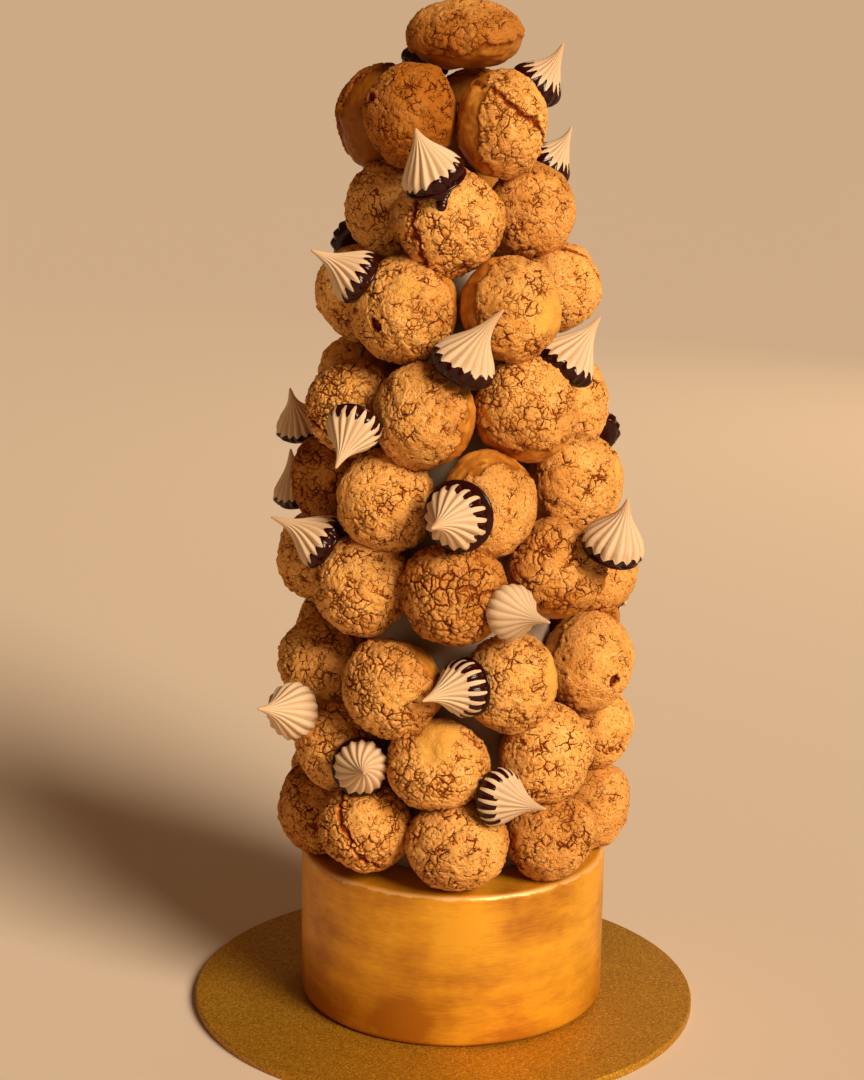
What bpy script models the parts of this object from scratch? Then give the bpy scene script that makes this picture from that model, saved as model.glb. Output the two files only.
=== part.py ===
"""Croquembouche: a tower of cream puffs and piped meringue kisses on a gold tier and board.

Metres, +Z up. The origin is the centre of the board's underside. The front faces -Y.
Places on the tower are given as a turn in degrees round its axis (0 at the front,
positive to the right) and a height in millimetres above the ground.
"""

import math
from dataclasses import dataclass

import bmesh
import bpy
from mathutils import Matrix, Vector
from mathutils.bvhtree import BVHTree

MM = 0.001
GAP = 0.3 * MM

# ---- Board and tier -------------------------------------------------------------------
BOARD_RADIUS = 126 * MM
BOARD_THICK = 4.3 * MM
BOARD_EDGE = 0.8 * MM
BOARD_SIDES = 48

TOWER_X = 3.8 * MM
TOWER_Y = 2.8 * MM

TIER_RADIUS = 76.2 * MM
TIER_HEIGHT = 78.2 * MM
TIER_SHOULDER = 3.0 * MM
TIER_FOOT = 1.2 * MM
TIER_FOOT_HIGH = 3.6 * MM
SHOULDER_STEPS = 3
TIER_SIDES = 36
TIER_BOTTOM = BOARD_THICK + GAP
TIER_TOP = TIER_BOTTOM + TIER_HEIGHT

# ---- Core: a drum that turns into a cone ----------------------------------------------
CORE_BOTTOM = TIER_TOP + GAP
CORE_RADIUS = 46 * MM
CORE_WAIST = 230 * MM
CORE_TOP = 408 * MM
CORE_TOP_RADIUS = 9.5 * MM
CORE_SIDES = 20

# ---- Puffs ----------------------------------------------------------------------------
PUFF_SEAT = 21.5 * MM
PUFF_SIDES = 9
LUMP = 0.018
LUMP_MIX = 0.6
LUMP_SHIFTS = (1.7, 2.9)
BITE = 1.5 * MM
LEANT_BITE = 2.3 * MM
CLEAR = 0.7 * MM

# A puff that leans this much or more off straight out, in degrees, sits upright.
UPRIGHT = 60

# Settling: rounds, the pull towards home and how soon it fades, and how stiff contacts are.
SETTLE_ROUNDS = 600
HOME_PULL = 0.03
PULL_FADE = 1.5
STIFF = 0.4
NEAR = 75 * MM
CORE_BACK = 0.45
CORE_DROP = 10 * MM
CROWN = 0.5

# Parting: how much larger the trial copies are, and the length and number of the nudges.
SWELL = 1.02
NUDGE = 0.15 * MM
NUDGES = 60

# Half profile of a puff as shares of its width: radius, height. Base first, crown last.
PUFF_PROFILE = (
    (0.00, -0.40),
    (0.31, -0.43),
    (0.49, -0.20),
    (0.515, 0.04),
    (0.415, 0.30),
    (0.21, 0.435),
    (0.00, 0.465),
)

# ---- Kisses ---------------------------------------------------------------------------
KISS_WIDTH = 28 * MM
KISS_LENGTH = 30 * MM
KISS_RIDGES = 6
KISS_FLUTE = 0.07
KISS_TWIST = math.radians(25)
KISS_MIDDLE = 0.4
KISS_START = 125 * MM
KISS_STRIDE = 8 * MM
KISS_STEP = 0.3 * MM
KISS_CLEAR = 1.05

# Half profile of a kiss: radius as a share of its width, height as a share of its length.
KISS_PROFILE = (
    (0.00, 0.00),
    (0.43, 0.01),
    (0.50, 0.22),
    (0.21, 0.62),
    (0.00, 1.00),
)


@dataclass
class Puff:
    """A puff's place, width and height, how its cap leans, and how far it sits proud, in mm."""

    turn: float
    height: float
    wide: float = 44.5
    tall: float = 45.0
    lean: float = 0.0
    clock: float = 0.0
    out: float = 0.0


@dataclass
class Kiss:
    """A kiss's place, and its tip's direction: lean off straight out, clock from up."""

    turn: float
    height: float
    lean: float
    clock: float
    size: float = 1.0


# Puffs that touch are one solid each: a run climbs the tower, lowest puff first.
RUNS = {
    "puffs_low_1": (Puff(-74, 105, 42, 44),),
    "puffs_low_2": (Puff(-35, 103, 43, 43), Puff(-58, 145, 43, 43), Puff(-80, 185, 44, 46)),
    "puffs_low_3": (Puff(0, 102, 46, 42), Puff(-5, 145, 46, 42), Puff(-30, 187, 45, 45)),
    "puffs_low_4": (Puff(44, 104, 43, 42), Puff(40, 147, 43.5, 46), Puff(22, 187, 42, 46)),
    "puffs_low_5": (Puff(84, 105, 43, 44), Puff(85, 147, 44, 42), Puff(73, 185, 44, 46)),
    "puffs_low_6": (Puff(125, 105), Puff(130, 147), Puff(116, 185)),
    "puffs_low_7": (Puff(165, 105), Puff(173, 147), Puff(157, 185)),
    "puffs_low_8": (Puff(-155, 105), Puff(-143, 147), Puff(-161, 185)),
    "puffs_low_9": (Puff(-115, 105), Puff(-102, 147), Puff(-120, 186)),
    "puffs_mid_1": (Puff(-88, 226, 43, 44), Puff(-86, 270, 43, 43), Puff(-60, 314, 44, 44)),
    "puffs_mid_2": (Puff(-45, 218, 43, 44), Puff(-36, 270, 44, 46), Puff(-11, 318, 46, 48)),
    "puffs_mid_3": (Puff(-6, 217, 47, 46.5), Puff(9, 273, 44.5, 50, 22, 135), Puff(40, 322, 45, 48)),
    "puffs_mid_4": (Puff(39, 224, 45, 46), Puff(61, 277, 42, 48, 12, 45), Puff(104, 315, 41, 45)),
    "puffs_mid_5": (Puff(84, 223, 44, 46), Puff(116, 271, 44, 46)),
    "puffs_mid_6": (Puff(131, 228), Puff(146, 271), Puff(142, 312)),
    "puffs_mid_7": (Puff(176, 228), Puff(-172, 271), Puff(-168, 313)),
    "puffs_mid_8": (Puff(-134, 228), Puff(-127, 271), Puff(-118, 313)),
    "puffs_high_1": (Puff(-95, 355, 44, 44, out=3), Puff(-98, 399, 43, 44), Puff(-112, 445, 44, 50, out=14)),
    "puffs_high_2": (Puff(-35, 356, 47.5, 47), Puff(-5, 397, 47.5, 47)),
    "puffs_high_3": (Puff(26, 363, 45, 47, 15, 270),),
    "puffs_high_4": (Puff(86, 361, 43, 40), Puff(78, 402, 41, 42.5)),
    "puffs_high_5": (Puff(146, 356),),
    "puffs_high_6": (Puff(-154, 356), Puff(178, 398), Puff(168, 445, 44, 49)),
    "puffs_high_7": (Puff(-58, 444, 43, 46), Puff(23, 443, 42.5, 49, 30, 90)),
    "puff_top": (Puff(0, 481.5, 53, 33, 90, 0),),
}

KISSES = (
    Kiss(-149, 473, 97, 341, 0.85),
    Kiss(90, 464, 55, 340, 0.92),
    Kiss(-18, 429, 67, 344, 1.05),
    Kiss(110, 425, 60, 334, 0.85),
    Kiss(-130, 381, 45, 285),
    Kiss(-49, 378, 44, 324, 0.95),
    Kiss(4, 345, 72, 27, 1.12),
    Kiss(60, 339, 60, 20, 1.05),
    Kiss(-36, 303, 40, 160, 0.95),
    Kiss(-114, 293, 88, 30, 0.85),
    Kiss(-108, 262, 82, 16, 0.9),
    Kiss(-58, 252, 42, 321, 0.98),
    Kiss(-3, 271, 17, 285, 1.08),
    Kiss(48, 261, 68, 358, 1.05),
    Kiss(18, 226, 21, 82, 0.95),
    Kiss(-2, 187, 46, 271),
    Kiss(-59, 166, 27, 54),
    Kiss(-31, 146, 36, 63, 0.95),
    Kiss(18, 134, 34, 91),
    Kiss(121, 291, 62, 60),
    Kiss(124, 196, 34, 141, 0.8),
    Kiss(143, 122, 70, 250),
    Kiss(-162, 136, 78, 100),
    Kiss(155, 215, 50, 0),
    Kiss(-144, 199, 70, 230),
    Kiss(-156, 250, 78, 20),
    Kiss(157, 244, 60, 140),
    Kiss(168, 296, 74, 330),
    Kiss(178, 344, 50, 60),
    Kiss(-143, 336, 60, 310),
    Kiss(142, 391, 74, 20),
    Kiss(-160, 428, 65, 0),
)


@dataclass
class Finish:
    """A surface's linear colour, roughness and metallic value."""

    colour: tuple
    rough: float
    metal: float = 0.0


FINISHES = {
    "board": Finish((0.40, 0.20, 0.04), 0.35, 0.9),
    "tier": Finish((0.62, 0.30, 0.05), 0.32, 0.9),
    "core": Finish((0.80, 0.77, 0.70), 0.80),
    "puff": Finish((0.50, 0.24, 0.07), 0.70),
    "kiss": Finish((0.85, 0.70, 0.52), 0.60),
}


# ---- Scene set-up ---------------------------------------------------------------------
def clear_scene():
    """Remove the objects that are there."""
    for thing in list(bpy.data.objects):
        bpy.data.objects.remove(thing, do_unlink=True)


def new_collection(name):
    """Add a collection to the scene."""
    made = bpy.data.collections.new(name)
    bpy.context.scene.collection.children.link(made)
    return made


def new_material(name, finish):
    """Make a Principled BSDF material."""
    made = bpy.data.materials.new(name)
    made.use_nodes = True
    shader = made.node_tree.nodes["Principled BSDF"]
    shader.inputs["Base Color"].default_value = (*finish.colour, 1.0)
    shader.inputs["Roughness"].default_value = finish.rough
    shader.inputs["Metallic"].default_value = finish.metal
    return made


def add_object(name, shape, collection, finish):
    """Turn a bmesh into a named object with its own material, and return the object."""
    mesh = bpy.data.meshes.new(name)
    shape.to_mesh(mesh)
    shape.free()
    mesh.shade_smooth()
    mesh.set_sharp_from_angle(angle=math.radians(40))
    made = bpy.data.objects.new(name, mesh)
    made.data.materials.append(new_material(name, finish))
    collection.objects.link(made)
    return made


# ---- Places on the tower --------------------------------------------------------------
def tower_point(turn, radius, height):
    """Point at a turn in degrees, a distance from the tower's axis and a height."""
    angle = math.radians(turn)
    return Vector((TOWER_X + radius * math.sin(angle), TOWER_Y - radius * math.cos(angle), height))


def tower_axes(point):
    """Unit vectors out, right and up at a point beside the tower."""
    out = Vector((point.x - TOWER_X, point.y - TOWER_Y, 0))
    out = out.normalized() if out.length > GAP else Vector((0, -1, 0))
    return out, Vector((-out.y, out.x, 0)), Vector((0, 0, 1))


def aim(point, lean, clock):
    """Rotation that takes +Z to a direction `lean` off straight out, towards `clock`."""
    out, right, up = tower_axes(point)
    lean = math.radians(lean)
    clock = math.radians(clock)
    across = right * math.sin(clock) + up * math.cos(clock)
    along = out * math.cos(lean) + across * math.sin(lean)
    side = (across * math.cos(lean) - out * math.sin(lean)).normalized()
    other = along.cross(side)
    return Matrix((side, other, along)).transposed().to_4x4()


def core_radius(height):
    """Radius of the core at a height, as if the cone went on to its point."""
    if height <= CORE_WAIST:
        return CORE_RADIUS
    share = (height - CORE_WAIST) / (CORE_TOP - CORE_WAIST)
    return max(0.0, CORE_RADIUS + share * (CORE_TOP_RADIUS - CORE_RADIUS))


# ---- Settling the puffs ---------------------------------------------------------------
def puff_trees(puffs, spots, factor):
    """Tree of each puff's skin with its centre at its spot, the puff scaled by a factor."""
    trees = []
    for number, (puff, spot) in enumerate(zip(puffs, spots)):
        shape = puff_shape(puff, spot, number, factor)
        trees.append(BVHTree.FromBMesh(shape))
        shape.free()
    return trees


def settle(puffs, joined):
    """Move the puffs until those of a run bite into each other and all others are clear.

    Each starts seated against the core at its own turn and height, and is drawn back there
    by a pull that fades out. How far a puff reaches is read off its own shape.
    """
    homes = []
    for puff in puffs:
        height = puff.height * MM
        seat = core_radius(height) + PUFF_SEAT + puff.out * MM if puff.lean < UPRIGHT else 0.0
        homes.append(tower_point(puff.turn, seat, height))
    trees = puff_trees(puffs, homes, 1.0)
    spots = [home.copy() for home in homes]

    def reach(number, towards):
        """Distance from a puff's centre to its skin in a direction."""
        return trees[number].ray_cast(homes[number], towards)[3]

    near = [
        (i, j)
        for i in range(len(puffs))
        for j in range(i + 1, len(puffs))
        if (homes[i] - homes[j]).length < NEAR
    ]
    near.sort(key=lambda pair: pair in joined)
    for step in range(SETTLE_ROUNDS):
        pull = HOME_PULL * max(0.0, 1.0 - PULL_FADE * step / SETTLE_ROUNDS)
        for spot, home in zip(spots, homes):
            spot += (home - spot) * pull
        for i, j in near:
            line = spots[j] - spots[i]
            length = line.length
            line.normalize()
            meet = reach(i, line) + reach(j, -line)
            tied = (i, j) in joined
            bite = LEANT_BITE if puffs[i].lean or puffs[j].lean else BITE
            wanted = meet - bite if tied else meet + CLEAR
            if tied or length < wanted:
                shift = line * (STIFF * (wanted - length))
                spots[i] -= shift
                spots[j] += shift
        for number, (puff, spot) in enumerate(zip(puffs, spots)):
            floor = TIER_TOP + reach(number, Vector((0, 0, -1))) + CLEAR
            spot.z = max(spot.z, floor)
            if puff.lean >= UPRIGHT or spot.z > CORE_TOP + CROWN * puff.tall * MM:
                continue
            radius = Vector((spot.x - TOWER_X, spot.y - TOWER_Y)).length
            back = CORE_BACK * puff.wide * MM + CLEAR
            closest = core_radius(spot.z - CORE_DROP) + back
            if radius < closest:
                spot += tower_axes(spot)[0] * (closest - radius)
    return spots


def part_ways(puffs, spots, joined, core, tier):
    """Nudge the settled puffs apart until slightly larger copies of them no longer meet."""
    for _ in range(NUDGES):
        trees = puff_trees(puffs, spots, SWELL)
        clear = True
        for i, first in enumerate(trees):
            if first.overlap(core):
                spots[i] += tower_axes(spots[i])[0] * NUDGE
                clear = False
            if first.overlap(tier):
                spots[i].z += NUDGE
                clear = False
            for j in range(i + 1, len(puffs)):
                if (i, j) in joined or not first.overlap(trees[j]):
                    continue
                shift = (spots[j] - spots[i]).normalized() * NUDGE
                spots[i] -= shift
                spots[j] += shift
                clear = False
        if clear:
            break
    return spots


# ---- Solids ---------------------------------------------------------------------------
def reshape(shape, profile, width, length, ripple):
    """Give a sphere of unit radius a half profile, ring by ring, with a ripple round it.

    `ripple(angle, ring)` returns a factor on the radius and a twist in radians.
    """
    rings = len(profile) - 1
    for vert in shape.verts:
        ring = round(math.acos(max(-1.0, min(1.0, -vert.co.z))) / math.pi * rings)
        angle = math.atan2(vert.co.y, vert.co.x)
        radius, height = profile[ring]
        factor, twist = ripple(angle, ring)
        radius *= width * factor
        vert.co = (radius * math.cos(angle + twist), radius * math.sin(angle + twist), height * length)


def puff_shape(puff, spot, number, factor=1.0):
    """One puff as a bmesh in its place: a lumpy bun with a cap, a belly and a flat base."""

    def lumps(angle, ring):
        """Two slow waves round the puff, different on each puff."""
        slow = math.sin(2 * angle + LUMP_SHIFTS[0] * number)
        quick = math.sin(3 * angle + LUMP_SHIFTS[1] * number + ring)
        return 1.0 + LUMP * (slow + LUMP_MIX * quick), 0.0

    shape = bmesh.new()
    bmesh.ops.create_uvsphere(
        shape, u_segments=PUFF_SIDES, v_segments=len(PUFF_PROFILE) - 1, radius=1.0
    )
    width = puff.wide * MM * factor
    stretch = Matrix.Scale(puff.tall / puff.wide, 4, (0, 0, 1))
    reshape(shape, PUFF_PROFILE, width, width, lumps)
    place = Matrix.Translation(spot) @ stretch @ aim(spot, puff.lean, puff.clock)
    bmesh.ops.transform(shape, matrix=place, verts=shape.verts)
    bmesh.ops.recalc_face_normals(shape, faces=shape.faces)
    return shape


def kiss_shape(kiss, middle, factor=1.0):
    """One kiss as a bmesh, its middle at a point: a fluted, twisted drop with a flat base."""

    def flutes(angle, ring):
        """Ridges and grooves by turns, that twist on the way to the tip."""
        ridge = math.cos(KISS_RIDGES * angle)
        return 1.0 + KISS_FLUTE * ridge, KISS_TWIST * KISS_PROFILE[ring][1]

    shape = bmesh.new()
    bmesh.ops.create_uvsphere(
        shape, u_segments=2 * KISS_RIDGES, v_segments=len(KISS_PROFILE) - 1, radius=1.0
    )
    size = kiss.size * factor
    reshape(shape, KISS_PROFILE, KISS_WIDTH * size, KISS_LENGTH * size, flutes)
    sink = Matrix.Translation((0, 0, -KISS_MIDDLE * KISS_LENGTH * size))
    place = Matrix.Translation(middle) @ aim(middle, kiss.lean, kiss.clock) @ sink
    bmesh.ops.transform(shape, matrix=place, verts=shape.verts)
    bmesh.ops.recalc_face_normals(shape, faces=shape.faces)
    return shape


def is_free(kiss, middle, solids):
    """Whether a slightly larger copy of a kiss at a point meets none of the solids."""
    probe = kiss_shape(kiss, middle, KISS_CLEAR)
    tree = BVHTree.FromBMesh(probe)
    probe.free()
    return not any(
        (centre - middle).length < NEAR and tree.overlap(other) for centre, other in solids
    )


def push_in(kiss, solids):
    """Point where a kiss stops when it slides in towards the axis from outside."""
    radius = KISS_START
    stride = KISS_STRIDE
    while stride > KISS_STEP:
        middle = tower_point(kiss.turn, radius - stride, kiss.height * MM)
        if radius > stride and is_free(kiss, middle, solids):
            radius -= stride
        else:
            stride /= 2
    return tower_point(kiss.turn, radius, kiss.height * MM)


def build_board(collection):
    """Round board with softened edges."""
    shape = bmesh.new()
    bmesh.ops.create_cone(
        shape,
        cap_ends=True,
        segments=BOARD_SIDES,
        radius1=BOARD_RADIUS,
        radius2=BOARD_RADIUS,
        depth=BOARD_THICK,
        matrix=Matrix.Translation((0, 0, BOARD_THICK / 2)),
    )
    rims = [edge for edge in shape.edges if abs(edge.verts[0].co.z - edge.verts[1].co.z) < GAP]
    bmesh.ops.bevel(shape, geom=rims, offset=BOARD_EDGE, segments=1, affect="EDGES")
    return add_object("board", shape, collection, FINISHES["board"])


def turned(name, profile, sides, collection, finish):
    """Object turned about the tower's axis from a profile that runs down its outer side."""
    shape = bmesh.new()
    verts = [shape.verts.new((radius, 0, height)) for radius, height in profile]
    for start, end in zip(verts, verts[1:]):
        shape.edges.new((start, end))
    made = add_object(name, shape, collection, finish)
    made.location = (TOWER_X, TOWER_Y, 0)
    screw = made.modifiers.new("turn", "SCREW")
    screw.axis = "Z"
    screw.steps = sides
    screw.render_steps = sides
    screw.use_merge_vertices = True
    screw.merge_threshold = 0.00001
    return made


def build_tier(collection):
    """Drum of the tier: a rounded shoulder at the top and a slight tuck at the foot."""
    inner = TIER_RADIUS - TIER_SHOULDER
    high = TIER_TOP - TIER_SHOULDER
    profile = [(0, TIER_TOP)]
    for step in range(SHOULDER_STEPS + 1):
        angle = math.pi / 2 * (1 - step / SHOULDER_STEPS)
        profile.append(
            (inner + TIER_SHOULDER * math.cos(angle), high + TIER_SHOULDER * math.sin(angle))
        )
    profile.append((TIER_RADIUS, TIER_BOTTOM + TIER_FOOT_HIGH))
    profile.append((TIER_RADIUS - TIER_FOOT, TIER_BOTTOM))
    profile.append((0, TIER_BOTTOM))
    return turned("tier", profile, TIER_SIDES, collection, FINISHES["tier"])


def build_core(collection):
    """White core that the puffs are stuck to."""
    profile = [
        (0, CORE_TOP),
        (CORE_TOP_RADIUS, CORE_TOP),
        (CORE_RADIUS, CORE_WAIST),
        (CORE_RADIUS, CORE_BOTTOM),
        (0, CORE_BOTTOM),
    ]
    return turned("core", profile, CORE_SIDES, collection, FINISHES["core"])


def tree_of(thing):
    """Tree of an object's evaluated mesh in its place."""
    shape = bmesh.new()
    shape.from_object(thing, bpy.context.evaluated_depsgraph_get())
    bmesh.ops.transform(shape, matrix=Matrix.Translation(thing.location), verts=shape.verts)
    tree = BVHTree.FromBMesh(shape)
    shape.free()
    return tree


def build_runs(collection, cutters, core, tier):
    """Puffs, each run joined by unions where its puffs touch. Returns centres and trees."""
    puffs = [puff for run in RUNS.values() for puff in run]
    joined = set()
    first = 0
    for run in RUNS.values():
        joined.update((first + k, first + k + 1) for k in range(len(run) - 1))
        first += len(run)
    spots = part_ways(puffs, settle(puffs, joined), joined, tree_of(core), tree_of(tier))
    solids = []
    number = 0
    for name, run in RUNS.items():
        whole = None
        for puff in run:
            shape = puff_shape(puff, spots[number], number)
            solids.append((spots[number], BVHTree.FromBMesh(shape)))
            number += 1
            if whole is None:
                whole = add_object(name, shape, collection, FINISHES["puff"])
                continue
            part = add_object(f"{name}_join", shape, cutters, FINISHES["puff"])
            part.hide_render = True
            part.display_type = "WIRE"
            union = whole.modifiers.new("join", "BOOLEAN")
            union.operation = "UNION"
            union.object = part
    return solids


def build_kisses(collection, solids):
    """Kisses, each pushed into the nearest hollow between the puffs."""
    for number, kiss in enumerate(KISSES, start=1):
        middle = push_in(kiss, solids)
        shape = kiss_shape(kiss, middle)
        solids.append((middle, BVHTree.FromBMesh(shape)))
        add_object(f"kiss_{number:02d}", shape, collection, FINISHES["kiss"])


def main():
    """Build the whole object."""
    clear_scene()
    collection = new_collection("croquembouche")
    cutters = new_collection("cutters")
    build_board(collection)
    tier = build_tier(collection)
    core = build_core(collection)
    solids = build_runs(collection, cutters, core, tier)
    build_kisses(collection, solids)


main()
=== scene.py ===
"""Looks of a croquembouche: cream puffs under a cracked sugar crust, piped meringue kisses
dipped in chocolate, a white core, a gold-painted tier and a glitter board.

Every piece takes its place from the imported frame: metres, +Z up, the front towards -Y.
"""

import logging
import math
from dataclasses import dataclass
from enum import Enum
from functools import partial
from typing import Callable

import bpy
import numpy as np
from mathutils import Matrix, Vector


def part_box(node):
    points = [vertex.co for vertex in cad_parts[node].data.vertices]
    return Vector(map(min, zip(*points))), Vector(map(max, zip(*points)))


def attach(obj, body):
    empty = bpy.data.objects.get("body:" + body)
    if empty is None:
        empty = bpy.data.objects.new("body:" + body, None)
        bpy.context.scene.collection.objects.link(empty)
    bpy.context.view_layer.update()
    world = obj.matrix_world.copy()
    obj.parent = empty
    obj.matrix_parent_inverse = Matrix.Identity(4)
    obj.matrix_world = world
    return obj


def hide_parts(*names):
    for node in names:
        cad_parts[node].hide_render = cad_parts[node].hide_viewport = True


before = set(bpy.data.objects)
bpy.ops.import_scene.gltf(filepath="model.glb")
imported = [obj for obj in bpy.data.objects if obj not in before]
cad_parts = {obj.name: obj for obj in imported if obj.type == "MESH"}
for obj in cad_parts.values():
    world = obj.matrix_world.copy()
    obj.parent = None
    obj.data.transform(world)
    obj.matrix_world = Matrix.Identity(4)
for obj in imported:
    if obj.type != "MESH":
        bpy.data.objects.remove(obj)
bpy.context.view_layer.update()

LOG = logging.getLogger("croquembouche")
MM = 0.001
ROOT = "root"

Material = bpy.types.Material
Node = bpy.types.Node
Socket = bpy.types.NodeSocket
Thing = bpy.types.Object
Tree = bpy.types.NodeTree
Pair = tuple[float, float]
Triple = tuple[float, float, float]


# ---- Node tools -----------------------------------------------------------------------
@dataclass(frozen=True)
class Kind:
    """A kind of node, and which of its sockets are used.

    It holds the node's type, the setting that picks how it works, its inputs in the order
    in which they are given, and the output that is passed on.
    """

    type_name: str
    setting: str = ""
    inputs: tuple[int | str, ...] = (0, 1, 2)
    output: int | str = 0


LIMITS = ("Value", "From Min", "From Max", "To Min", "To Max")
MATH = Kind("ShaderNodeMath", "operation")
VECTOR = Kind("ShaderNodeVectorMath", "operation")
SCALED = Kind("ShaderNodeVectorMath", "operation", (0, "Scale"))
DOT = Kind("ShaderNodeVectorMath", "operation", output="Value")
RANGE = Kind("ShaderNodeMapRange", "interpolation_type", LIMITS)
MIX = Kind("ShaderNodeMix", "data_type", (0, 6, 7), 2)
NOISE = Kind("ShaderNodeTexNoise", "noise_dimensions", ("Vector", "Scale", "Detail"))
CELLS = Kind("ShaderNodeTexVoronoi", "feature", ("Vector", "Scale"))
ATTRIBUTE = Kind("ShaderNodeAttribute", "attribute_name", output="Fac")
OBJECT_PLACE = Kind("ShaderNodeTexCoord", output="Object")
MAPPING = Kind("ShaderNodeMapping", "vector_type", ("Vector", "Scale"))
FACING = Kind("ShaderNodeNewGeometry", output="Normal")
SPLIT = Kind("ShaderNodeSeparateXYZ")
COLOUR_PARTS = Kind("ShaderNodeSeparateColor")
BUMP = Kind("ShaderNodeBump", inputs=("Height", "Distance", "Strength"))
POSITION = Kind("GeometryNodeInputPosition")
NORMAL = Kind("GeometryNodeInputNormal")
STORED = Kind("GeometryNodeStoreNamedAttribute", "data_type", ("Geometry", "Name", "Value"))
MOVED = Kind("GeometryNodeSetPosition", inputs=("Geometry", "Offset"))


def linear(code: str) -> tuple[float, float, float, float]:
    """Turn an sRGB hex colour into linear light.

    Args:
        code: A colour such as "#e0a05c".

    Returns:
        Red, green, blue and an alpha of 1.
    """
    parts = [int(code[k : k + 2], 16) / 255 for k in (1, 3, 5)]
    light = [c / 12.92 if c <= 0.04045 else ((c + 0.055) / 1.055) ** 2.4 for c in parts]
    return light[0], light[1], light[2], 1.0


def add_node(tree: Tree, kind: Kind, way: str = "", *values: object) -> Socket:
    """Add a node to a tree with its setting, values and links.

    Args:
        tree: A shader or geometry node tree.
        kind: The kind of node.
        way: What the kind's setting is set to.
        *values: What the inputs get, in the kind's order: sockets, numbers or hex colours.

    Returns:
        The output that the kind passes on.
    """
    node = tree.nodes.new(kind.type_name)
    if way:
        setattr(node, kind.setting, way)
    for key, value in zip(kind.inputs, values):
        if isinstance(value, Socket):
            tree.links.new(value, node.inputs[key])
        else:
            is_colour = isinstance(value, str) and value.startswith("#")
            node.inputs[key].default_value = linear(value) if is_colour else value
    return node.outputs[kind.output]


def new_material(name: str, **values: float) -> tuple[Material, Node, partial]:
    """Make a Principled BSDF material.

    Args:
        name: The material's name.
        **values: Socket values, with _ in place of the spaces in a socket's name.

    Returns:
        The material, its shader node, and add_node for its tree.
    """
    made = bpy.data.materials.new(name)
    made.use_nodes = True
    shader = made.node_tree.nodes["Principled BSDF"]
    for key, value in values.items():
        shader.inputs[key.replace("_", " ")].default_value = value
    return made, shader, partial(add_node, made.node_tree)


def feed(shader: Node, **sources: Socket) -> None:
    """Link sockets to a shader's inputs, with _ in place of the spaces in an input's name."""
    for key, source in sources.items():
        shader.id_data.links.new(source, shader.inputs[key.replace("_", " ")])


# ---- Mesh tools -----------------------------------------------------------------------
def select_only(thing: Thing) -> None:
    """Select one object, make it active, and deselect everything else.

    Args:
        thing: The object.
    """
    bpy.ops.object.select_all(action="DESELECT")
    thing.select_set(True)
    bpy.context.view_layer.objects.active = thing


def new_primitive(operator: Callable, name: str, **sizes: object) -> Thing:
    """Add a primitive, with its place in its mesh.

    Args:
        operator: A bpy.ops.mesh.primitive operator.
        name: The new object's name.
        **sizes: The operator's own settings.

    Returns:
        The new object, selected and active.
    """
    bpy.ops.object.select_all(action="DESELECT")
    operator(**sizes)
    bpy.ops.object.transform_apply(location=True, rotation=True, scale=True)
    made = bpy.context.active_object
    made.name = made.data.name = name
    return made


def copy_of(blank: Thing, name: str, matrix: Matrix) -> Thing:
    """Copy a modelled blank, with its own mesh, into its place.

    Args:
        blank: The piece to copy.
        name: The copy's name.
        matrix: The place, turn and size of the copy, which go into its mesh.

    Returns:
        The copy, at the origin, unturned and unscaled.
    """
    made = bpy.data.objects.new(name, blank.data.copy())
    bpy.context.scene.collection.objects.link(made)
    made.data.name = name
    made.data.transform(matrix)
    return made


def apply_modifiers(thing: Thing) -> None:
    """Apply all of an object's modifiers, first to last.

    Args:
        thing: The object.
    """
    select_only(thing)
    for modifier in list(thing.modifiers):
        bpy.ops.object.modifier_apply(modifier=modifier.name)


def points_of(thing: Thing) -> np.ndarray:
    """Read the vertex places of a mesh object.

    Args:
        thing: The object.

    Returns:
        One row for each vertex.
    """
    places = np.empty(len(thing.data.vertices) * 3)
    thing.data.vertices.foreach_get("co", places)
    return places.reshape(-1, 3)


def move_points(thing: Thing, places: np.ndarray) -> None:
    """Give a mesh object new vertex places."""
    thing.data.vertices.foreach_set("co", places.astype(np.float32).ravel())
    thing.data.update()


def store(thing: Thing, name: str, values: np.ndarray) -> None:
    """Keep one number for each vertex as a named attribute."""
    made = thing.data.attributes.new(name, "FLOAT", "POINT")
    made.data.foreach_set("value", np.asarray(values, np.float32))


def dress(thing: Thing, finish: Material, nodes: tuple[str, ...] = ()) -> None:
    """Finish a piece: its material, its body and the nodes that it stands for.

    Args:
        thing: The piece.
        finish: Its material.
        nodes: CAD nodes that the piece replaces.
    """
    thing.data.materials.clear()
    thing.data.materials.append(finish)
    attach(thing, ROOT)
    if nodes:
        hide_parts(*nodes)
    LOG.info("%s: %d faces", thing.name, len(thing.data.polygons))


# ---- Places on the tower --------------------------------------------------------------
@dataclass(frozen=True)
class Tower:
    """The tower's upright axis, and directions as seen from outside it."""

    axis: Vector

    @classmethod
    def from_frame(cls) -> "Tower":
        """The tower's axis runs through the middle of its core."""
        low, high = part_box("core")
        return cls(Vector(((low.x + high.x) / 2, (low.y + high.y) / 2, 0)))

    def aim(self, place: Vector, lean: float, clock: float) -> Vector:
        """Direction that leaves the tower at a place.

        Args:
            place: A point beside the tower.
            lean: Degrees off straight out.
            clock: Degrees from up, clockwise as seen from outside, that it leans towards.

        Returns:
            A unit vector.
        """
        out = Vector((place.x - self.axis.x, place.y - self.axis.y, 0))
        out = out.normalized() if out.length > MM else Vector((0, -1, 0))
        right = Vector((-out.y, out.x, 0))
        lean, clock = math.radians(lean), math.radians(clock)
        across = right * math.sin(clock) + Vector((0, 0, 1)) * math.cos(clock)
        return out * math.cos(lean) + across * math.sin(lean)


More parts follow.
